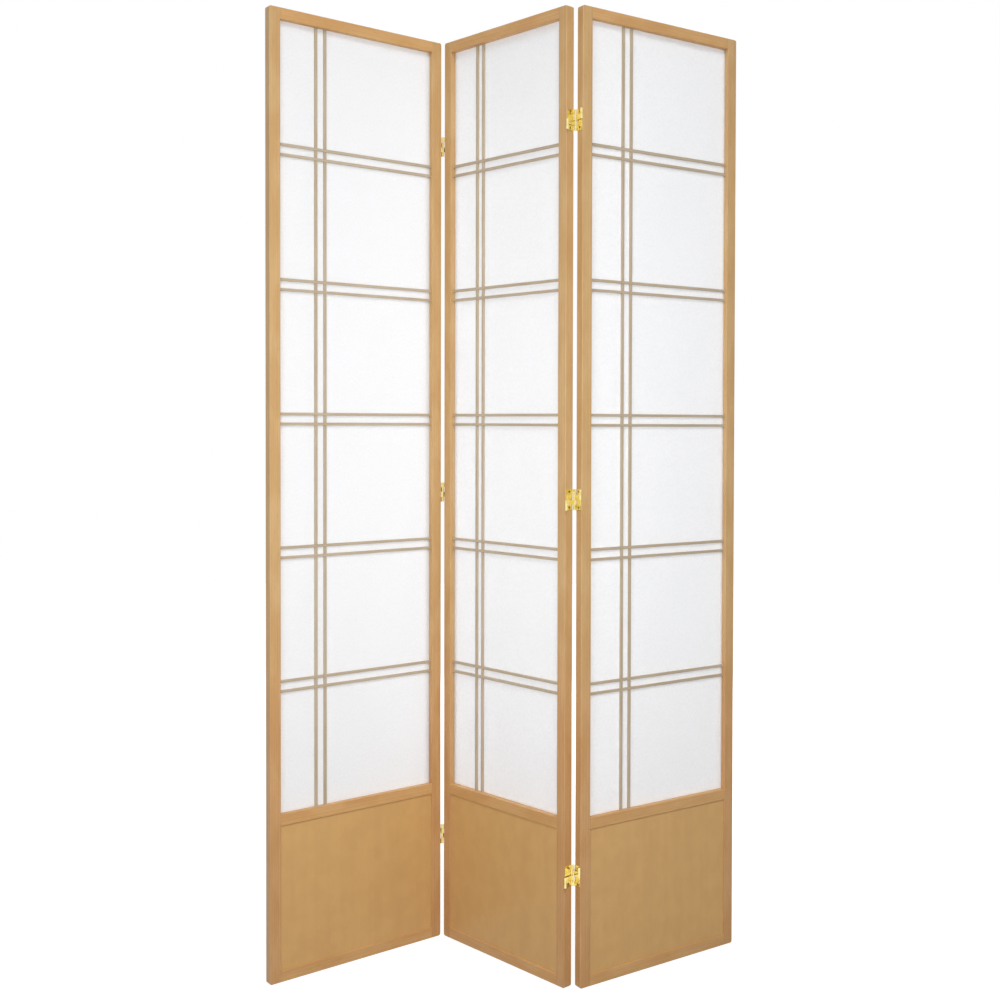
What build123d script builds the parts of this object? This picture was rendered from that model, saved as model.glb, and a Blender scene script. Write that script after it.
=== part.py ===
from build123d import *
import os

# A free-standing folding screen of three papered panels, hinged in a zigzag.
# Millimetres, +Z up. The origin is the centre of the middle panel's foot, on the floor.
# +X runs to the viewer's right, +Y away from the viewer. A panel's front faces -Y when flat.

# Panel frame
panel_height = 2134.0
panel_width = 432.0
panel_thickness = 22.0
stile_width = 25.0
rail_height = 25.0
kick_opening_height = 321.0
corner_radius = 5.0
outer_ease = 2.0
inner_ease = 0.6

# Frame joinery
mortise_cover = 9.0
tenon_thickness = 8.0
tenon_shoulder = 6.0
fit_clearance = 0.1

# Kick board
kick_board_thickness = 6.0
kick_board_setback = 3.0
kick_groove_depth = 4.0

# Lattice bars
bar_width = 6.0
bar_depth = 5.0
bar_setback = 7.5
bar_spacing = 22.0
bar_ease = 0.7
bar_housing_depth = 3.0
cross_pair_count = 5
upright_place_share = 0.26
lap_depth_share = 0.5

# Paper
paper_thickness = 0.5
paper_groove_depth = 4.5

# Hinges
hinge_height = 46.0
hinge_end_distance = 245.0
panel_gap = 8.5
axis_proud = 0.5
leaf_thickness = 1.1
leaf_corner_radius = 1.5
link_thickness = 1.1
barrel_clearance = 0.3
barrel_wall = 1.35
pin_clearance = 0.05
knuckle_gap = 0.3

# Hinge screws
screw_head_radius = 2.7
screw_shank_radius = 1.3
screw_back_wood = 11.0
screw_clearance = 0.05
recess_width = 0.7
recess_span = 3.0
recess_depth = 0.6

# Folding, in degrees from flat, as the screen stands
middle_turn = -43.4
left_fold = 85.2
right_fold = 80.9

# Cuts run past the faces they open by this much
overrun = 2.0

# Panel positions worked out from the sizes above, in a panel's own frame:
# X across the panel from its centre, Y from the middle of its thickness, Z up from the floor
half_width = panel_width / 2
half_thickness = panel_thickness / 2
opening_width = panel_width - 2 * stile_width
half_opening = opening_width / 2
middle_rail_bottom = rail_height + kick_opening_height
paper_opening_bottom = middle_rail_bottom + rail_height
paper_opening_top = panel_height - rail_height
paper_opening_height = paper_opening_top - paper_opening_bottom

tenon_length = stile_width - mortise_cover
tenon_height = rail_height - 2 * tenon_shoulder

kick_board_front = -half_thickness + kick_board_setback
kick_board_back = kick_board_front + kick_board_thickness
bar_front = -half_thickness + bar_setback
bar_back = bar_front + bar_depth
paper_front = bar_back
paper_back = paper_front + paper_thickness

pair_width = bar_spacing + bar_width
cell_height = (paper_opening_height - cross_pair_count * pair_width) / (cross_pair_count + 1)
pair_pitch = cell_height + pair_width
upright_pair_x = -half_opening + upright_place_share * opening_width
upright_xs = [upright_pair_x + side * bar_spacing / 2 for side in (-1, 1)]
lap_depth = lap_depth_share * bar_depth
lap_face = bar_front + lap_depth

# Hinge positions: the axes stand just clear of the panels' faces, in the middle of the gap
axis_y = half_thickness + axis_proud
barrel_radius = panel_gap / 2 - leaf_thickness - barrel_clearance
bore_radius = barrel_radius - barrel_wall
pin_radius = bore_radius - pin_clearance
leaf_half_depth = half_thickness - outer_ease
quarter = hinge_height / 4
knuckle_length = quarter - knuckle_gap
screw_levels = [-hinge_height / 2 + quarter / 2, hinge_height / 2 - quarter / 2]
screw_length = stile_width - screw_back_wood
hinge_levels = {
    "bottom": hinge_end_distance,
    "middle": panel_height / 2,
    "top": panel_height - hinge_end_distance,
}
joint_x = half_width + panel_gap / 2


def cross_pair_levels():
    """Heights of the middle of each pair of cross bars."""
    first = paper_opening_bottom + cell_height + pair_width / 2
    return [first + pair_pitch * index for index in range(cross_pair_count)]


def cross_bar_levels(pair_level):
    """Heights of the two bars of one pair."""
    return [pair_level + side * bar_spacing / 2 for side in (-1, 1)]


def span(x_range, y_range, z_range):
    """A box between three pairs of limits."""
    (x0, x1), (y0, y1), (z0, z1) = x_range, y_range, z_range
    centre = ((x0 + x1) / 2, (y0 + y1) / 2, (z0 + z1) / 2)
    return Pos(*centre) * Box(x1 - x0, y1 - y0, z1 - z0)


def wider(limits, by):
    """The same limits, moved apart by a clearance at both ends."""
    low, high = limits
    return (low - by, high + by)


def stile_blank():
    """A right-hand stile with its outer corners rounded and its long edges eased."""
    outer, inner = half_width, half_opening
    wood = span((inner, outer), (-half_thickness, half_thickness), (0, panel_height))
    corners = wood.edges().filter_by(Axis.Y).group_by(Axis.X)[-1]
    wood = fillet(corners, corner_radius)
    outer_rim = wood.faces().sort_by(Axis.Y)[0].edges() + wood.faces().sort_by(Axis.Y)[-1].edges()
    outer_rim = [edge for edge in outer_rim if edge.center().X > (inner + outer) / 2]
    wood = fillet(outer_rim, outer_ease)
    inner_arrises = wood.edges().filter_by(Axis.Z).group_by(Axis.X)[0]
    return chamfer(inner_arrises, inner_ease)


def mortise(rail_bottom):
    """The slot in a stile for one rail's tenon."""
    depth = tenon_length + fit_clearance
    return span(
        (half_opening - overrun, half_opening + depth),
        wider((-tenon_thickness / 2, tenon_thickness / 2), fit_clearance),
        wider((rail_bottom + tenon_shoulder, rail_bottom + tenon_shoulder + tenon_height), fit_clearance),
    )


def stile_cuts():
    """Everything that is cut into the inner edge of a stile, as one list of tools."""
    cuts = [mortise(bottom) for bottom in (0, middle_rail_bottom, paper_opening_top)]
    cuts.append(span(
        (half_opening - overrun, half_opening + kick_groove_depth + fit_clearance),
        wider((kick_board_front, kick_board_back), fit_clearance),
        wider((rail_height, middle_rail_bottom), kick_groove_depth + fit_clearance),
    ))
    cuts.append(span(
        (half_opening - overrun, half_opening + paper_groove_depth + fit_clearance),
        wider((paper_front, paper_back), fit_clearance),
        wider((paper_opening_bottom, paper_opening_top), paper_groove_depth + fit_clearance),
    ))
    for pair_level in cross_pair_levels():
        for level in cross_bar_levels(pair_level):
            cuts.append(span(
                (half_opening - overrun, half_opening + bar_housing_depth + fit_clearance),
                wider((bar_front, bar_back), fit_clearance),
                wider((level - bar_width / 2, level + bar_width / 2), fit_clearance),
            ))
    return cuts


def pilot_holes():
    """Holes for the hinge screws in the outer edge of a right-hand stile."""
    holes = []
    depth = screw_length + screw_clearance
    for level in hinge_levels.values():
        for offset in screw_levels:
            hole = Cylinder(screw_shank_radius + screw_clearance, depth + overrun)
            centre_x = half_width - depth / 2 + overrun / 2
            holes.append(Pos(centre_x, 0, level + offset) * Rot(0, 90, 0) * hole)
    return holes


def stile(side, hinged):
    """A stile on the right (side 1) or the left (side -1), drilled if a hinge sits on it."""
    wood = stile_blank() - stile_cuts()
    if hinged:
        wood = wood - pilot_holes()
    return wood if side > 0 else mirror(wood, Plane.YZ)


def rail(bottom, kick_side=None, papered_side=None, outer_side=None):
    """A rail with a tenon at each end. A side is 1 for the top edge and -1 for the bottom edge.

    The outer side is the one on the panel's outline, which is rounded like the stiles' outer edges.
    """
    top = bottom + rail_height
    wood = span((-half_opening, half_opening), (-half_thickness, half_thickness), (bottom, top))
    arrises = wood.edges().filter_by(Axis.X)
    if outer_side:
        outward = Axis.Z if outer_side > 0 else -Axis.Z
        wood = fillet(arrises.group_by(outward)[-1], outer_ease)
        arrises = wood.edges().filter_by(Axis.X).group_by(outward)[0]
    wood = chamfer(arrises, inner_ease)
    tenon_reach = half_opening + tenon_length
    wood += span(
        (-tenon_reach, tenon_reach),
        (-tenon_thickness / 2, tenon_thickness / 2),
        (bottom + tenon_shoulder, top - tenon_shoulder),
    )
    if kick_side:
        wood -= rail_groove(bottom, kick_side, kick_groove_depth, (kick_board_front, kick_board_back))
    if papered_side:
        wood -= rail_groove(bottom, papered_side, paper_groove_depth, (paper_front, paper_back))
        wood -= upright_housings(bottom, papered_side)
    return wood


def edge_cut_range(bottom, side, depth):
    """Height limits of a cut of one depth into a rail's top or bottom edge."""
    face = bottom + rail_height if side > 0 else bottom
    floor = face - side * (depth + fit_clearance)
    mouth = face + side * overrun
    return (min(floor, mouth), max(floor, mouth))


def rail_groove(bottom, side, depth, across):
    """A groove along a rail's edge, from shoulder to shoulder."""
    return span(
        wider((-half_opening, half_opening), overrun),
        wider(across, fit_clearance),
        edge_cut_range(bottom, side, depth),
    )


def upright_housings(bottom, side):
    """Shallow sockets for the ends of the upright bars."""
    return [
        span(
            wider((x - bar_width / 2, x + bar_width / 2), fit_clearance),
            wider((bar_front, bar_back), fit_clearance),
            edge_cut_range(bottom, side, bar_housing_depth),
        )
        for x in upright_xs
    ]


def kick_board():
    """The thin board below the middle rail."""
    reach = half_opening + kick_groove_depth
    return span(
        (-reach, reach),
        (kick_board_front, kick_board_back),
        (rail_height - kick_groove_depth, middle_rail_bottom + kick_groove_depth),
    )


def paper():
    """The paper sheet, close behind the lattice."""
    reach = half_opening + paper_groove_depth
    return span(
        (-reach, reach),
        (paper_front, paper_back),
        (paper_opening_bottom - paper_groove_depth, paper_opening_top + paper_groove_depth),
    )


def upright_bar(x):
    """One upright bar, notched in front where the cross bars pass."""
    bar = span(
        (x - bar_width / 2, x + bar_width / 2),
        (bar_front, bar_back),
        wider((paper_opening_bottom, paper_opening_top), bar_housing_depth),
    )
    bar = fillet(bar.edges().filter_by(Axis.Z).group_by(Axis.Y)[0], bar_ease)
    notches = []
    for pair_level in cross_pair_levels():
        for level in cross_bar_levels(pair_level):
            notches.append(span(
                wider((x - bar_width / 2, x + bar_width / 2), overrun),
                (bar_front - overrun, lap_face),
                wider((level - bar_width / 2, level + bar_width / 2), fit_clearance),
            ))
    return bar - notches


def cross_bar(level):
    """One cross bar, notched behind where the upright bars pass."""
    bar = span(
        wider((-half_opening, half_opening), bar_housing_depth),
        (bar_front, bar_back),
        (level - bar_width / 2, level + bar_width / 2),
    )
    bar = fillet(bar.edges().filter_by(Axis.X).group_by(Axis.Y)[0], bar_ease)
    notches = [
        span(
            wider((x - bar_width / 2, x + bar_width / 2), fit_clearance),
            (lap_face, bar_back + overrun),
            wider((level - bar_width / 2, level + bar_width / 2), overrun),
        )
        for x in upright_xs
    ]
    return bar - notches


def quarter_floor(index):
    """Lower end of the knuckle in one quarter of a hinge, counted from the bottom."""
    return -hinge_height / 2 + index * quarter + knuckle_gap / 2


def barrel(y, floor, radius, length):
    """An upright cylinder in the middle of the gap."""
    return Pos(0, y, floor + length / 2) * Cylinder(radius, length)


def leaf_knuckle(index, end):
    """A knuckle and its slanting neck, for a plate on the left of the gap. End is -1 in front."""
    floor = quarter_floor(index)
    seat, face = -panel_gap / 2, -panel_gap / 2 + leaf_thickness
    root = leaf_half_depth - leaf_thickness
    neck_outline = Polyline(
        (seat, end * root),
        (seat, end * leaf_half_depth),
        (-barrel_radius, end * axis_y),
        (-bore_radius, end * axis_y),
        (face, end * root),
        close=True,
    )
    neck = Pos(0, 0, floor) * extrude(make_face(neck_outline), knuckle_length, dir=(0, 0, 1))
    return neck + barrel(end * axis_y, floor, barrel_radius, knuckle_length)


def hinge_leaf(side):
    """A leaf on the left (side -1) or the right (side 1) of the gap.

    Its knuckles stand towards opposite faces of the panel, one in the top quarter and one in the bottom.
    """
    seat = -panel_gap / 2
    half_height = hinge_height / 2
    plate = span(
        (seat, seat + leaf_thickness),
        (-leaf_half_depth, leaf_half_depth),
        (-half_height, half_height),
    )
    plate = fillet(plate.edges().filter_by(Axis.X), leaf_corner_radius)
    bore_length = knuckle_length + 2 * overrun
    for index, end in ((0, -1), (3, 1)):
        bore = barrel(end * axis_y, quarter_floor(index) - overrun, bore_radius, bore_length)
        plate = plate + leaf_knuckle(index, end) - bore
    for level in screw_levels:
        head = countersink(screw_clearance)
        plate -= Pos(seat, 0, level) * Rot(0, 90, 0) * head
    return plate if side < 0 else Rot(0, 0, 180) * plate


def countersink(clearance):
    """A cone through the leaf's thickness, widest at the leaf's free face, with its tip end at height 0."""
    cone = Cone(screw_shank_radius + clearance, screw_head_radius + clearance, leaf_thickness)
    return Pos(0, 0, leaf_thickness / 2) * cone


def hinge_link(index):
    """A strip with a barrel at each end, in one quarter of the hinge's height."""
    floor = quarter_floor(index)
    strip = span(
        (-link_thickness / 2, link_thickness / 2),
        (-axis_y, axis_y),
        (floor, floor + knuckle_length),
    )
    for end in (-1, 1):
        strip += barrel(end * axis_y, floor, barrel_radius, knuckle_length)
    for end in (-1, 1):
        strip -= barrel(end * axis_y, floor - overrun, bore_radius, knuckle_length + 2 * overrun)
    return strip


def hinge_pin(end, upper):
    """A pin through a leaf's knuckle and the link beside it, in the upper or the lower half."""
    length = 2 * quarter - knuckle_gap
    return barrel(end * axis_y, quarter_floor(2 if upper else 0), pin_radius, length)


def hinge_screw(side, level):
    """A countersunk screw through the leaf on one side of the gap, with a cross recess in its head."""
    shank = Pos(0, 0, -screw_length / 2) * Cylinder(screw_shank_radius, screw_length)
    screw = shank + countersink(0)
    recess_z = leaf_thickness - recess_depth / 2
    for turn in (0, 90):
        screw -= Pos(0, 0, recess_z) * Rot(0, 0, turn) * Box(recess_span, recess_width, recess_depth)
    placed = Pos(-panel_gap / 2, 0, level) * Rot(0, 90, 0) * screw
    return placed if side < 0 else Rot(0, 0, 180) * placed


def panel_places():
    """Where each panel's own frame stands, with the middle panel's foot at the origin."""
    middle = Rot(0, 0, middle_turn)
    flat_offset = panel_width + panel_gap
    left_axis = (-joint_x, -axis_y, 0)
    right_axis = (joint_x, axis_y, 0)
    left = Pos(*left_axis) * Rot(0, 0, left_fold) * Pos(joint_x - flat_offset, axis_y, 0)
    right = Pos(*right_axis) * Rot(0, 0, right_fold) * Pos(flat_offset - joint_x, -axis_y, 0)
    return {"left": middle * left, "middle": middle, "right": middle * right}


def panel_pieces(hinged_left, hinged_right):
    """The frame, board, paper and bars of one panel, in the panel's own frame."""
    pieces = {
        "left_stile": stile(-1, hinged_left),
        "right_stile": stile(1, hinged_right),
        "bottom_rail": rail(0, kick_side=1, outer_side=-1),
        "middle_rail": rail(middle_rail_bottom, kick_side=-1, papered_side=1),
        "top_rail": rail(paper_opening_top, papered_side=-1, outer_side=1),
        "kick_board": kick_board(),
        "paper": paper(),
        "upright_bars": Compound([upright_bar(x) for x in upright_xs]),
    }
    for number, pair_level in enumerate(cross_pair_levels(), start=1):
        bars = [cross_bar(level) for level in cross_bar_levels(pair_level)]
        pieces[f"cross_bars_{number}"] = Compound(bars)
    return pieces


def hinge_pieces(joint):
    """The pieces of one joint's hinges, as lists of (panel, group, piece in that panel's frame).

    The left joint turns about its front axis and the right joint about its rear axis. A link and a pin
    travel with the panel that they don't turn against.
    """
    left_panel, right_panel = {"left": ("left", "middle"), "right": ("middle", "right")}[joint]
    beside = {left_panel: joint_x, right_panel: -joint_x}
    turning_end = -1 if joint == "left" else 1
    upper_owner = left_panel if joint == "left" else right_panel
    placed = []
    for level_name, level in hinge_levels.items():
        for side, panel in ((-1, left_panel), (1, right_panel)):
            side_name = "left" if side < 0 else "right"
            leaf_name = f"{joint}_{level_name}_hinge_{side_name}_leaf"
            placed.append((panel, leaf_name, hinge_leaf(side), level))
            for screw_level in screw_levels:
                placed.append((panel, f"{panel}_hinge_screws", hinge_screw(side, screw_level), level))
        placed.append((upper_owner, f"{upper_owner}_hinge_links", hinge_link(2), level))
        placed.append(("middle", "middle_hinge_links", hinge_link(1), level))
        for end in (-1, 1):
            upper_pin_owner = "middle" if end == turning_end else upper_owner
            placed.append((upper_pin_owner, f"{upper_pin_owner}_hinge_pins", hinge_pin(end, True), level))
            placed.append(("middle", "middle_hinge_pins", hinge_pin(end, False), level))
    return [(panel, group, Pos(beside[panel], 0, level) * piece) for panel, group, piece, level in placed]


def screen():
    """Every piece of the screen at its place, by name. Like small fittings of a panel share a name."""
    places = panel_places()
    nodes = {}
    for panel, hinged_left, hinged_right in (
        ("left", False, True),
        ("middle", True, True),
        ("right", True, False),
    ):
        for name, piece in panel_pieces(hinged_left, hinged_right).items():
            nodes[f"{panel}_panel_{name}"] = [places[panel] * piece]
    for joint in ("left", "right"):
        for panel, group, piece in hinge_pieces(joint):
            nodes.setdefault(group, []).append(places[panel] * piece)
    return nodes


os.makedirs("parts", exist_ok=True)
for name, pieces in screen().items():
    solids = [solid for piece in pieces for solid in piece.solids()]
    shape = solids[0] if len(solids) == 1 else Compound(solids)
    export_step(shape, f"parts/{name}.step")
    print(name, len(solids), "solids")
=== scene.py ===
# %% [markdown]
# # A folding paper screen
#
# The real object is a free-standing screen. Three tall wooden frames hold white paper behind a lattice of
# paired bars, with a thin board at the foot, and brass hinges join them so that they stand in a zigzag.
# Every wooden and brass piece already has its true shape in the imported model, so this lesson is about looks:
# grain, lacquer, paper that isn't quite flat, metal, light and the camera.

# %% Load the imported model
import math

import bmesh
import bpy
from mathutils import Matrix, Vector, noise


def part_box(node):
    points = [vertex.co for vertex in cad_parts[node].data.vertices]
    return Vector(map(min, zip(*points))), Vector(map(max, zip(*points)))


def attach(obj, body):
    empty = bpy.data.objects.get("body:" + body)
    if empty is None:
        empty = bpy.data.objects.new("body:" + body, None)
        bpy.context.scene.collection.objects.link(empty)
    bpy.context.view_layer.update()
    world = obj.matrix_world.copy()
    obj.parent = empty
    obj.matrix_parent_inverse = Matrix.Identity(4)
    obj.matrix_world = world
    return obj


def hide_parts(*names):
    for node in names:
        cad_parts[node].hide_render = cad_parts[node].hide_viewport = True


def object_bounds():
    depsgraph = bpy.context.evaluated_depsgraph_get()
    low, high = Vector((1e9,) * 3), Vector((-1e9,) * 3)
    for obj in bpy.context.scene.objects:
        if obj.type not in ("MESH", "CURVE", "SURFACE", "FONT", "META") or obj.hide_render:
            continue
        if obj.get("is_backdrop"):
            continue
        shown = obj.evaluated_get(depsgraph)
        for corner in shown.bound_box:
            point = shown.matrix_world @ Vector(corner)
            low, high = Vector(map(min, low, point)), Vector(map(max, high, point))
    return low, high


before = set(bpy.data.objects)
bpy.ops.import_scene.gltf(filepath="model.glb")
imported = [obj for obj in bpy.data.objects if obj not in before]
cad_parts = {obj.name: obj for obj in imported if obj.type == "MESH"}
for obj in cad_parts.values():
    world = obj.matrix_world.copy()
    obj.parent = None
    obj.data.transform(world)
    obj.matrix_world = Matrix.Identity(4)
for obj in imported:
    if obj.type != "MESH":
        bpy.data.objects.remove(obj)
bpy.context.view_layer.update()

# %% [markdown]
# ## Which way each panel faces
#
# Grain runs along a piece of wood, not along the room, and the three panels are turned differently. The
# turns could be typed in, but then they would have to be kept in step with the model by hand. Each panel's
# paper is a flat sheet, so the normal of its widest face says which way the panel faces, and the sheet's
# middle is a good origin for everything in that panel.

# %% Panel frames
PANELS = ("left", "middle", "right")
panel_place = {}
panel_turn = {}
for panel in PANELS:
    paper_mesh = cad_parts[f"{panel}_panel_paper"].data
    widest = max(paper_mesh.polygons, key=lambda face: face.area)
    front = widest.normal if widest.normal.y < 0 else -widest.normal
    low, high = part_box(f"{panel}_panel_paper")
    panel_turn[panel] = math.atan2(front.x, -front.y)
    panel_place[panel] = Matrix.Translation((low + high) / 2) @ Matrix.Rotation(panel_turn[panel], 4, "Z")
    print(panel, "panel is turned by", round(math.degrees(panel_turn[panel]), 2), "degrees")

# %% [markdown]
# ## Short tools for materials
#
# A material is a graph of nodes, and Blender's own calls for building one are long. One helper adds a node,
# sets its options and fills or joins its sockets. Another turns a colour as seen on a screen into the linear
# light that shaders work in, because a colour typed in straight would come out too pale. The last one joins
# what varies over a surface to its shader, and sets what is the same all over.

# %% Node tools
def linear(red, green, blue):
    """A screen colour, from 0 to 255 in each channel, as linear light."""
    shares = [channel / 255 for channel in (red, green, blue)]
    toned = [share / 12.92 if share < 0.04 else ((share + 0.055) / 1.055) ** 2.4 for share in shares]
    return (*toned, 1.0)


def add_node(tree, kind, sockets=None, **options):
    """Adds one node. A socket is given a plain value, or another node's output to be joined to."""
    made = tree.nodes.new("ShaderNode" + kind)
    for option, value in options.items():
        setattr(made, option, value)
    for key, value in (sockets or {}).items():
        if isinstance(value, bpy.types.NodeSocket):
            tree.links.new(value, made.inputs[key])
        else:
            made.inputs[key].default_value = value
    return made


def new_finish(name):
    """A material with its node tree and its main shader."""
    finish = bpy.data.materials.new(name)
    finish.use_nodes = True
    return finish, finish.node_tree, finish.node_tree.nodes["Principled BSDF"]


def set_surface(tree, shader, colour, roughness, relief, fixed):
    """Joins colour, roughness and a bump to a shader. The bump has a height, a strength and a depth."""
    height, strength, depth = relief
    bump = add_node(tree, "Bump", {"Height": height, "Strength": strength, "Distance": depth})
    tree.links.new(colour, shader.inputs["Base Color"])
    tree.links.new(roughness, shader.inputs["Roughness"])
    tree.links.new(bump.outputs[0], shader.inputs["Normal"])
    for socket, value in fixed.items():
        shader.inputs[socket].default_value = value


print("a mid screen grey in linear light:", round(linear(128, 128, 128)[0], 3))

# %% [markdown]
# ## Patterns that follow a panel
#
# Object coordinates are metres in the room here, because every piece sits at the origin. They could be used
# as they are, but the grain would then run askew through a turned panel. A Mapping node of the Texture kind
# moves the pattern's origin to a panel's middle and turns it with the panel. For pieces that lie level it
# also tips the pattern over, so that its third direction always runs along the grain. A different shift for
# each panel keeps them from being copies of each other.

# %% Pattern tools
UPRIGHT_LAY = 0.0
LEVEL_LAY = math.radians(90)
PANEL_SHIFT = Vector((0.31, 0.17, 2.9))


def pattern_coordinates(tree, panel, lay=UPRIGHT_LAY):
    """Metres in a panel's own directions, with the third one along the grain."""
    shift = PANEL_SHIFT * (PANELS.index(panel) + 1)
    origin = panel_place[panel].translation - shift
    room = add_node(tree, "TexCoord").outputs["Object"]
    sockets = {"Vector": room, "Location": origin, "Rotation": (0, lay, panel_turn[panel])}
    return add_node(tree, "Mapping", sockets, vector_type="TEXTURE").outputs[0]


def cloud(tree, coordinates, sizes, detail=2.0):
    """Cloudy noise whose blobs have these sizes, in metres, in the pattern's three directions."""
    per_metre = tuple(1 / size for size in sizes)
    scaled = add_node(tree, "VectorMath", {0: coordinates, 1: per_metre}, operation="MULTIPLY")
    return add_node(tree, "TexNoise", {"Vector": scaled.outputs[0], "Scale": 1.0, "Detail": detail})


def spread(tree, value, low, high, to_low=0.0, to_high=1.0):
    """Stretches a part of a noise's range, which bunches about a half, over another range."""
    limits = {"From Min": low, "From Max": high, "To Min": to_low, "To Max": to_high}
    return add_node(tree, "MapRange", {"Value": value, **limits}, interpolation_type="SMOOTHSTEP").outputs[0]


def blend_colours(tree, share, first, second, blend="MIX"):
    """The first colour where the share is 0, and where it is 1 the second, or their product."""
    mixed = add_node(tree, "Mix", {0: share, 6: first, 7: second}, data_type="RGBA", blend_type=blend)
    return mixed.outputs[2]


print("patterns are shifted by", tuple(round(x, 2) for x in PANEL_SHIFT), "metres from panel to panel")

# %% [markdown]
# ## Growth rings
#
# The frames are a pale, close-grained wood under a satin lacquer. A picture of wood could be wrapped round
# each piece, but it would stretch on the ends. Here the wood is solid, as a tree is: growth rings are thin
# shells about a far centre, bent a little along their length, and each face of a piece shows the slice that
# it cuts.

# %% Growth rings
RING_GAP = 0.0034
BEND_SIZES = (0.09, 0.09, 0.55)
BEND_REACH = 0.012


def growth_rings(tree, grain, ring_gap):
    """A value that changes from ring to ring, by the distance from the log's centre."""
    bend = cloud(tree, grain, BEND_SIZES, detail=1.0).outputs["Color"]
    bent = add_node(tree, "VectorMath", {0: bend, 1: (BEND_REACH,) * 3, 2: grain}, operation="MULTIPLY_ADD")
    section = add_node(tree, "VectorMath", {0: bent.outputs[0], 1: (1, 1, 0)}, operation="MULTIPLY")
    radius = add_node(tree, "VectorMath", {0: section.outputs[0]}, operation="LENGTH").outputs["Value"]
    ring_sockets = {"W": radius, "Scale": 1 / ring_gap, "Detail": 3.0}
    return add_node(tree, "TexNoise", ring_sockets, noise_dimensions="1D").outputs[0]


print("rings in the frames are about", round(RING_GAP * 1000, 1), "mm apart")

# %% [markdown]
# ## Lacquered wood
#
# A slow drift between a pale and a warm tone lies under the rings, and fine fibres and short dark pores lie
# over them. The fibres also steer the gloss and a faint bump. A painted shade darkens the foot of a piece and
# fades out with the height above the floor, standing in for light that falls off lower down. Each piece could
# have a recipe of its own, but one with a few settings serves every piece of wood in the screen.

# %% Wood
DRIFT_WIDTH = 0.035
DRIFT_LENGTH = 0.12
DRIFT_RANGE = 0.34, 0.66
WOOD_FIBRE_SIZES = (0.0008, 0.0008, 0.035)
PORE_SIZES = (0.0012, 0.0012, 0.018)
RING_RANGE = 0.38, 0.70
RING_DARKNESS = 0.24
WOOD_FIBRE_RANGE = 0.30, 0.70
WOOD_FIBRE_DARKNESS = 0.14
PORE_RANGE = 0.62, 0.76
PORE_DARKNESS = 0.22
# Heights in metres over which the painted shade at the foot of a stile fades out.
PAINTED_SHADE_SPAN = 0.45, 0.95
SATIN_ROUGHNESS = 0.36, 0.50
WOOD_BUMP = 0.25, 0.0002
SATIN_LACQUER = {"Specular IOR Level": 0.3, "Coat Weight": 0.05, "Coat Roughness": 0.30}


def wood_finish(
    name, panel, lay, tones, ring_gap=RING_GAP, figure=1.0, drift_length=DRIFT_LENGTH, painted_foot_shade=None
):
    """Lacquered wood with its grain upright or level in one panel. A lower figure makes it plainer."""
    pale, warm, deep = tones
    finish, tree, shader = new_finish(name)
    grain = pattern_coordinates(tree, panel, lay)
    drift = cloud(tree, grain, (DRIFT_WIDTH, DRIFT_WIDTH, drift_length)).outputs[0]
    rings = growth_rings(tree, grain, ring_gap)
    fibres = cloud(tree, grain, WOOD_FIBRE_SIZES).outputs[0]
    pores = cloud(tree, grain, PORE_SIZES, detail=0.0).outputs[0]

    wood = blend_colours(tree, spread(tree, drift, *DRIFT_RANGE), pale, warm)
    layers = (
        (rings, RING_RANGE, RING_DARKNESS),
        (fibres, WOOD_FIBRE_RANGE, WOOD_FIBRE_DARKNESS),
        (pores, PORE_RANGE, PORE_DARKNESS),
    )
    for pattern, limits, darkness in layers:
        wood = blend_colours(tree, spread(tree, pattern, *limits, to_high=darkness * figure), wood, deep)
    # Painted shade: the foot of the piece is multiplied darker and redder, for light that falls off near the
    # floor.
    if painted_foot_shade:
        room = add_node(tree, "TexCoord").outputs["Object"]
        height = add_node(tree, "SeparateXYZ", {0: room}).outputs["Z"]
        painted_shade_share = spread(tree, height, *PAINTED_SHADE_SPAN, 1.0, 0.0)
        wood = blend_colours(tree, painted_shade_share, wood, painted_foot_shade, blend="MULTIPLY")
    roughness = spread(tree, fibres, *WOOD_FIBRE_RANGE, *SATIN_ROUGHNESS)
    set_surface(tree, shader, wood, roughness, (fibres, *WOOD_BUMP), SATIN_LACQUER)
    return finish


print("wood fibres are about", round(WOOD_FIBRE_SIZES[0] * 1000, 1), "mm wide")

# %% [markdown]
# ## Frames
#
# Stiles stand upright and rails lie level, so each panel needs two frame finishes with the grain laid
# differently. Where a rail meets a stile, the change of direction shows the joint, as it does in real
# joinery. One tone could serve all of the frame, but the rails are slightly redder than the stiles. The
# stiles also get a painted shade that turns them redder and deeper towards the floor, where the light falls
# off.

# %% Frame finishes
STILE_TONES = linear(204, 169, 120), linear(196, 158, 107), linear(157, 113, 70)
RAIL_TONES = linear(208, 165, 111), linear(200, 154, 99), linear(160, 111, 65)
# Painted shade for the foot of the stiles, multiplied into their colour near the floor.
FOOT_PAINTED_SHADE = (0.975, 0.86, 0.80, 1.0)
FRAME_FIGURE = 0.7
STILES = ("left_stile", "right_stile")
RAILS = ("bottom_rail", "middle_rail", "top_rail")


def dress(piece, finish):
    """Gives a piece one finish all over."""
    piece.data.materials.clear()
    piece.data.materials.append(finish)


for panel in PANELS:
    stile_wood = wood_finish(
        f"{panel}_stile_wood", panel, UPRIGHT_LAY, STILE_TONES, figure=FRAME_FIGURE, painted_foot_shade=FOOT_PAINTED_SHADE
    )
    rail_wood = wood_finish(f"{panel}_rail_wood", panel, LEVEL_LAY, RAIL_TONES, figure=FRAME_FIGURE)
    for piece in STILES:
        dress(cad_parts[f"{panel}_panel_{piece}"], stile_wood)
    for piece in RAILS:
        dress(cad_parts[f"{panel}_panel_{piece}"], rail_wood)
print("dressed", len(PANELS) * len(STILES + RAILS), "frame pieces")

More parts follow.
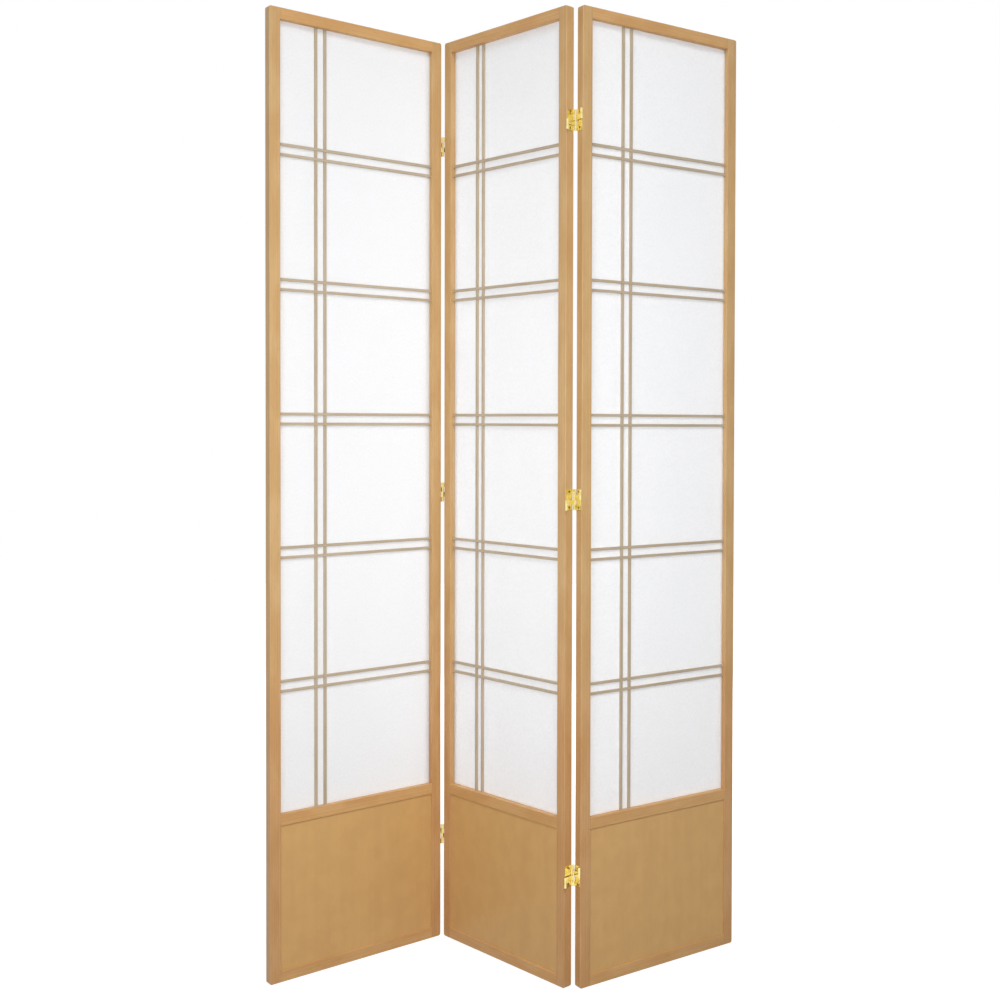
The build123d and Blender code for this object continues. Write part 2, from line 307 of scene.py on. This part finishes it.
# %% [markdown]
# ## Lattice
#
# The bars are ripped from the same kind of wood as the frames, but they are so thin that only two or three
# rings cross each of them. They could share the frames' finish, but beside white paper a thin bar looks
# greyer and a little deeper, so the bars get tones of their own and rings that are set closer.

# %% Lattice finishes
BAR_TONES = linear(190, 175, 153), linear(183, 166, 142), linear(149, 129, 103)
BAR_RING_GAP = 0.0022
CROSS_PAIRS = 5
cross_bar_names = [f"cross_bars_{number}" for number in range(1, CROSS_PAIRS + 1)]
for panel in PANELS:
    upright_wood, cross_wood = (
        wood_finish(f"{panel}_{bar}_bar_wood", panel, lay, BAR_TONES, ring_gap=BAR_RING_GAP)
        for bar, lay in (("upright", UPRIGHT_LAY), ("cross", LEVEL_LAY))
    )
    dress(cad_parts[f"{panel}_panel_upright_bars"], upright_wood)
    for piece in cross_bar_names:
        dress(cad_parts[f"{panel}_panel_{piece}"], cross_wood)
print("dressed", len(PANELS) * (1 + CROSS_PAIRS), "groups of bars")

# %% [markdown]
# ## Kick boards
#
# The board at the foot of each panel is thin plywood. Its face veneer is peeled from the log, which cuts
# along the rings and not across them, so the figure is broad, blurred and faint. A new recipe could be
# written for it, but the one for solid wood does it too: the rings are set far apart and hardly darken, and
# the drifts of colour are short and soft.

# %% Board finishes
BOARD_TONES = linear(206, 164, 106), linear(202, 160, 103), linear(170, 125, 76)
VENEER = {"ring_gap": 0.03, "figure": 0.25, "drift_length": 0.045}
for panel in PANELS:
    board_wood = wood_finish(f"{panel}_board_wood", panel, UPRIGHT_LAY, BOARD_TONES, **VENEER)
    dress(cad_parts[f"{panel}_panel_kick_board"], board_wood)
print("dressed", len(PANELS), "kick boards")

# %% [markdown]
# ## Paper fibres
#
# Screen paper has long fibres caught in it. They could be drawn one by one, but a contour line of a smooth
# noise is already a thin, long, wandering curve. A narrow band about the noise's middle value gives such
# curves, and a second noise breaks them into lengths.

# %% Paper fibres
FIBRE_CURVES = (0.03, 0.011)
NOISE_MIDDLE = 0.5
FIBRE_BAND = 0.012
FIBRE_LENGTH = 0.016
FIBRE_BREAKS = 0.50, 0.60


def maths(tree, operation, *values, **options):
    """One sum on plain values or other nodes' outputs."""
    return add_node(tree, "Math", dict(enumerate(values)), operation=operation, **options).outputs[0]


def fibre_lines(tree, coordinates, size):
    """Thin wandering lines, broken into lengths."""
    field = cloud(tree, coordinates, (size,) * 3, detail=1.0).outputs[0]
    off_line = maths(tree, "ABSOLUTE", maths(tree, "SUBTRACT", field, NOISE_MIDDLE))
    line = spread(tree, off_line, 0.0, FIBRE_BAND, 1.0, 0.0)
    lengths = spread(tree, cloud(tree, coordinates, (FIBRE_LENGTH,) * 3).outputs[0], *FIBRE_BREAKS)
    return maths(tree, "MULTIPLY", line, lengths)


print("fibres wander in curves of about", [round(size * 1000) for size in FIBRE_CURVES], "mm")

# %% [markdown]
# ## Paper that lets light through
#
# The paper is white and matte, a little mottled, and some light comes through it. Transmission in the main
# shader would make it clear as glass, so that shader only scatters light back, and a Translucent shader
# passes the rest. The sheet has two faces and each of them takes its toll, so the share set for one face is
# larger than the share that comes out behind.

# %% Paper finish
PAPER_WHITE = linear(252, 252, 253)
PAPER_SHADE = linear(247, 248, 249)
FIBRE_WHITE = linear(254, 254, 255)
MOTTLE_SIZE = 0.005
MATTE_ROUGHNESS = 0.75, 0.92
PAPER_BUMP = 0.15, 0.0001
LIGHT_THROUGH = 0.47


def paper_finish(panel):
    """White paper with fibres, mottled thickness and some light let through."""
    finish, tree, shader = new_finish(f"{panel}_paper_fibre")
    sheet_place = pattern_coordinates(tree, panel)
    fibres = maths(tree, "MAXIMUM", *(fibre_lines(tree, sheet_place, size) for size in FIBRE_CURVES))
    mottle = cloud(tree, sheet_place, (MOTTLE_SIZE,) * 3, detail=4.0).outputs[0]
    cloudy = blend_colours(tree, spread(tree, mottle, 0.35, 0.70), PAPER_WHITE, PAPER_SHADE)
    white = blend_colours(tree, fibres, cloudy, FIBRE_WHITE)
    roughness = spread(tree, mottle, 0.3, 0.7, *MATTE_ROUGHNESS)
    set_surface(tree, shader, white, roughness, (fibres, *PAPER_BUMP), {"Specular IOR Level": 0.25})
    through = add_node(tree, "BsdfTranslucent", {"Color": white})
    both = add_node(tree, "MixShader", {0: LIGHT_THROUGH, 1: shader.outputs[0], 2: through.outputs[0]})
    tree.links.new(both.outputs[0], tree.nodes["Material Output"].inputs["Surface"])
    return finish


paper_finishes = {panel: paper_finish(panel) for panel in PANELS}
print("made", len(paper_finishes), "paper finishes that pass", LIGHT_THROUGH, "of the light at each face")

# %% [markdown]
# ## Where the paper is held
#
# A flat slab would stand for the paper, but real paper is glued to the lattice and the frame, and slackens
# a little in the cells between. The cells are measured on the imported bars, rails and stiles, in each panel's
# own directions, so that the paper fits them whatever their size.

# %% Paper cells
def panel_extent(panel, piece):
    """Lowest and highest corner of a piece in its panel's own directions."""
    to_panel = panel_place[panel].inverted()
    points = [to_panel @ vertex.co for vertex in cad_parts[f"{panel}_panel_{piece}"].data.vertices]
    return [Vector(pick(point[axis] for point in points) for axis in range(3)) for pick in (min, max)]


def open_spans(panel):
    """Where the paper hangs free, across the panel and up it."""
    pair_low, pair_high = panel_extent(panel, "upright_bars")
    left_edge = panel_extent(panel, "left_stile")[1].x
    right_edge = panel_extent(panel, "right_stile")[0].x
    levels = [panel_extent(panel, "middle_rail")[1].z]
    for piece in cross_bar_names:
        levels += [corner.z for corner in panel_extent(panel, piece)]
    levels.append(panel_extent(panel, "top_rail")[0].z)
    across = [(left_edge, pair_low.x), (pair_high.x, right_edge)]
    return across, list(zip(levels[0::2], levels[1::2]))


spans_across, spans_up = open_spans("middle")
print("cells across, metres:", [round(high - low, 4) for low, high in spans_across])
print("cells up, metres:", [round(high - low, 4) for low, high in spans_up])

# %% [markdown]
# ## Slack paper
#
# Each sheet is a fine grid of its own. Where a bar or the frame holds it, it stays flat, and in each open
# cell it swells or dips by less than a millimetre. A cloth simulation could do this, but a smooth noise that
# fades out at the edges of a cell is quicker and always comes out the same. It is too little to see as
# shape, but the light shows it.

# %% Slack paper
GRID_STEP = 0.008
SLACK = 0.0011
WAVES_ACROSS = 9
WAVES_UP = 7
PANEL_WAVE_STEP = 5.3


def free_share(value, spans):
    """From 0, where the paper is held, to 1 in the middle of an open span."""
    for low, high in spans:
        if low < value < high:
            return math.sin(math.pi * (value - low) / (high - low))
    return 0.0


def paper_grid(panel, size):
    """The middle of one sheet as a grid, held by the frame and the bars and slack between them."""
    across, up = open_spans(panel)
    steps = [round(length / GRID_STEP) for length in (size.x, size.z)]
    grid = bmesh.new()
    bmesh.ops.create_grid(grid, x_segments=steps[0], y_segments=steps[1], size=0.5)
    bmesh.ops.scale(grid, verts=grid.verts, vec=(size.x, size.z, 1))
    bmesh.ops.rotate(grid, verts=grid.verts, matrix=Matrix.Rotation(math.radians(90), 3, "X"))
    panel_wave = PANELS.index(panel) * PANEL_WAVE_STEP
    for vertex in grid.verts:
        share = free_share(vertex.co.x, across) * free_share(vertex.co.z, up)
        wave = noise.noise(Vector((vertex.co.x * WAVES_ACROSS, panel_wave, vertex.co.z * WAVES_UP)))
        vertex.co.y += SLACK * share * wave
    bmesh.ops.transform(grid, verts=grid.verts, matrix=panel_place[panel])
    for face in grid.faces:
        face.smooth = True
    return grid


print("paper is divided every", round(GRID_STEP * 1000), "mm")

# %% [markdown]
# ## Paper sheets
#
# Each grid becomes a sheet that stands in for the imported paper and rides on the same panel. The thickness
# could be modelled with a second grid and a rim, but a Solidify modifier adds both.

# %% Paper sheets
def new_object(name, data):
    """An object in the scene for a mesh, a lamp or a camera."""
    made = bpy.data.objects.new(name, data)
    bpy.context.scene.collection.objects.link(made)
    return made


def mesh_object(name, shape):
    """An object with the mesh that a bmesh holds."""
    mesh = bpy.data.meshes.new(name)
    shape.to_mesh(mesh)
    shape.free()
    return new_object(name, mesh)


for panel in PANELS:
    low, high = panel_extent(panel, "paper")
    size = high - low
    sheet = mesh_object(f"{panel}_paper_sheet", paper_grid(panel, size))
    thickness = sheet.modifiers.new("thickness", "SOLIDIFY")
    thickness.thickness = size.y
    thickness.offset = 0.0
    dress(sheet, paper_finishes[panel])
    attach(sheet, f"{panel}_panel")
    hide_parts(f"{panel}_panel_paper")

# %% [markdown]
# ## Brass hinges
#
# The hinges are stamped brass with a clear lacquer, which keeps them bright yellow. Metal has no colour of
# its own beneath the surface: the Base Color tints what it mirrors. One even gloss could serve, but real
# metal is never quite even, so one noise varies the roughness in soft patches and another adds the fine
# lines that polishing leaves. The screws get a darker and duller version.

# %% Brass
PATCH_SIZE = 0.006
POLISH_LINE_SIZES = (0.0002, 0.0002, 0.008)
BRASS_BUMP = 0.12, 0.0001
LACQUERED_METAL = {"Metallic": 1.0, "Coat Weight": 0.2, "Coat Roughness": 0.1}
HINGE_TONES = linear(250, 235, 168), linear(237, 215, 140)
HINGE_ROUGHNESS = 0.14, 0.28
SCREW_TONES = linear(180, 158, 92), linear(140, 120, 62)
SCREW_ROUGHNESS = 0.26, 0.42


def brass_finish(name, tones, roughness):
    """Lacquered brass, more or less polished."""
    finish, tree, shader = new_finish(name)
    room = add_node(tree, "TexCoord").outputs["Object"]
    patches = cloud(tree, room, (PATCH_SIZE,) * 3, detail=3.0).outputs[0]
    polish_lines = cloud(tree, room, POLISH_LINE_SIZES).outputs[0]
    toned = blend_colours(tree, spread(tree, patches, 0.35, 0.65), *tones)
    uneven_gloss = spread(tree, patches, 0.3, 0.7, *roughness)
    set_surface(tree, shader, toned, uneven_gloss, (polish_lines, *BRASS_BUMP), LACQUERED_METAL)
    return finish


hinge_brass = brass_finish("hinge_brass", HINGE_TONES, HINGE_ROUGHNESS)
screw_brass = brass_finish("screw_brass", SCREW_TONES, SCREW_ROUGHNESS)
for name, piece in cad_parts.items():
    if name.endswith("hinge_screws"):
        dress(piece, screw_brass)
    elif "hinge" in name:
        dress(piece, hinge_brass)
print("dressed", sum("hinge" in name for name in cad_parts), "hinge pieces and groups")

# %% [markdown]
# ## White surround
#
# The screen stands in an even white surround. Turning the lights up until everything is white would wash
# the wood out too. Instead the world is plain white only to rays from the camera and to mirrored or
# refracted ones, and it lights the object more gently. Light that the paper scatters on its way through
# counts as transmitted as well, so scattered rays are taken out again, or the paper would glow with the
# white backdrop.

# %% White world
WHITE = (1.0, 1.0, 1.0, 1.0)
AMBIENT = 0.28


def seen_directly(tree):
    """1 for rays from the camera and for mirrored or refracted ones, and 0 for scattered light."""
    path = add_node(tree, "LightPath").outputs
    mirrored = maths(tree, "MAXIMUM", path["Is Camera Ray"], path["Is Glossy Ray"])
    clear = maths(tree, "MAXIMUM", mirrored, path["Is Transmission Ray"])
    return maths(tree, "SUBTRACT", clear, path["Is Diffuse Ray"], use_clamp=True)


world = bpy.data.worlds.new("white_surround")
world.use_nodes = True
bpy.context.scene.world = world
sky = world.node_tree
lighting = add_node(sky, "Background", {"Color": WHITE, "Strength": AMBIENT})
backdrop = add_node(sky, "Background", {"Color": WHITE, "Strength": 1.0})
either = add_node(sky, "MixShader", {0: seen_directly(sky), 1: lighting.outputs[0], 2: backdrop.outputs[0]})
sky.links.new(either.outputs[0], sky.nodes["World Output"].inputs["Surface"])
print("the world lights the screen with", AMBIENT, "of the white that the camera sees")

# %% [markdown]
# ## Floor
#
# A plain white floor would turn grey where the lamps leave it, and its far edge would show. So the floor
# glows to the rays that see the white world, and takes the rest of its brightness from the lamps, which
# keeps the soft shadow under the panels. Away from the screen the glow rises to the white of the world and
# hides the edge. What the floor throws back at the screen is set apart, by a plain grey that only scattered
# light meets.

# %% Floor finish
FLOOR_BOUNCE = 0.35
FLOOR_GLOW = 0.80
FLOOR_SHADE = 0.30
FLOOR_FADE = 0.5, 1.6


def grey(level):
    """A neutral colour."""
    return (level, level, level, 1.0)


floor_finish = bpy.data.materials.new("white_floor")
floor_finish.use_nodes = True
ground = floor_finish.node_tree
ground.nodes.remove(ground.nodes["Principled BSDF"])
plain = add_node(ground, "BsdfDiffuse", {"Color": grey(FLOOR_BOUNCE)})
shaded = add_node(ground, "BsdfDiffuse", {"Color": grey(FLOOR_SHADE)})
place = add_node(ground, "TexCoord").outputs["Object"]
distance = add_node(ground, "VectorMath", {0: place}, operation="LENGTH").outputs["Value"]
strength = spread(ground, distance, *FLOOR_FADE, FLOOR_GLOW, 1.0)
glow = add_node(ground, "Emission", {"Color": WHITE, "Strength": strength})
lit = add_node(ground, "AddShader", {0: shaded.outputs[0], 1: glow.outputs[0]})
either = add_node(ground, "MixShader", {0: seen_directly(ground), 1: plain.outputs[0], 2: lit.outputs[0]})
ground.links.new(either.outputs[0], ground.nodes["Material Output"].inputs["Surface"])
print("the floor turns white between", FLOOR_FADE[0], "and", FLOOR_FADE[1], "metres from the middle")

# %% Floor
FLOOR_SIZE = 14.0
floor_grid = bmesh.new()
bmesh.ops.create_grid(floor_grid, x_segments=1, y_segments=1, size=FLOOR_SIZE / 2)
floor = mesh_object("floor", floor_grid)
dress(floor, floor_finish)
floor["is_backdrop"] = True

# %% [markdown]
# ## Studio light
#
# The light on the screen is soft, and brightest about the middle of the panels. One lamp could light it
# all, but each of three large ones does a job that can be tuned alone. The front lamp stands near half
# height and lights the faces. The overhead lamp hangs high in front and draws the thin shadow under every
# bar and rail. The back lamp shines through the paper, as a window does behind such a screen. The two that
# stand level are kept out of reflections, because a mirrored lamp would turn the brass hinges white.

# %% Lamps
LAMPS = {
    "front_lamp": {"place": (-0.08, -1.85, 1.21), "aim": (0, 0, 1.21), "size": (1.8, 1.2), "watts": 24.8},
    "overhead_lamp": {"place": (1.1, -4.2, 5.6), "aim": (0, 0, 1.2), "size": (2.4, 2.4), "watts": 176},
    "back_lamp": {"place": (0.0, 3.45, 1.14), "aim": (0, 0, 1.14), "size": (2.0, 1.4), "watts": 112},
}
MIRRORED_LAMPS = ("overhead_lamp",)


def soft_lamp(name, place, aim, size, watts):
    """A large area lamp that points at a place. It isn't seen itself, and may be kept out of reflections."""
    lamp = bpy.data.lights.new(name, "AREA")
    lamp.shape = "RECTANGLE"
    lamp.size, lamp.size_y = size
    lamp.energy = watts
    holder = new_object(name, lamp)
    holder.location = place
    holder.rotation_euler = (Vector(aim) - Vector(place)).to_track_quat("-Z", "Y").to_euler()
    holder.visible_camera = False
    holder.visible_glossy = name in MIRRORED_LAMPS
    print(name, "at", place, "with", watts, "watts")


for name, settings in LAMPS.items():
    soft_lamp(name, **settings)

# %% [markdown]
# ## Camera
#
# The picture was taken from about three metres, a little above half the screen's height, and then cropped:
# the middle of the lens lies well to the right of the picture's middle, and a little above it. Turning the
# camera would not do the same, because lines would run together in another way. A lens shift moves the
# picture without turning anything. The focal length is measured in pixels, and Blender wants millimetres on
# its own film width.

# %% Camera
PICTURE_SIDE = 1000
FILM_WIDTH = 36.0
FOCAL_PIXELS = 1315.9
LENS_CENTRE_PIXEL = (670, 446.2)
CAMERA_PLACE = (0.3778, -3.0034, 1.2356)
CAMERA_PITCH_DOWN = math.radians(1.030)
CAMERA_YAW_LEFT = math.radians(0.044)
CAMERA_ROLL = math.radians(0.247)

lens = bpy.data.cameras.new("viewer")
lens.sensor_width = FILM_WIDTH
lens.lens = FILM_WIDTH * FOCAL_PIXELS / PICTURE_SIDE
lens.shift_x = 0.5 - LENS_CENTRE_PIXEL[0] / PICTURE_SIDE
lens.shift_y = LENS_CENTRE_PIXEL[1] / PICTURE_SIDE - 0.5
camera = new_object("viewer", lens)
camera.matrix_world = (
    Matrix.Translation(CAMERA_PLACE)
    @ Matrix.Rotation(CAMERA_YAW_LEFT, 4, "Z")
    @ Matrix.Rotation(math.radians(90) - CAMERA_PITCH_DOWN, 4, "X")
    @ Matrix.Rotation(CAMERA_ROLL, 4, "Z")
)
bpy.context.scene.camera = camera
bpy.context.scene.view_settings.view_transform = "Standard"
shifts = round(lens.shift_x, 3), round(lens.shift_y, 3)
print("lens of", round(lens.lens, 2), "mm, shifted by", shifts, "of the width")

# %% [markdown]
# ## Size of the dressed screen
#
# The dressed screen should be no larger than the imported one. Its box is measured and printed.

# %% Finish
low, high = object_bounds()
print("dressed screen, metres:", [round(x, 4) for x in high - low])
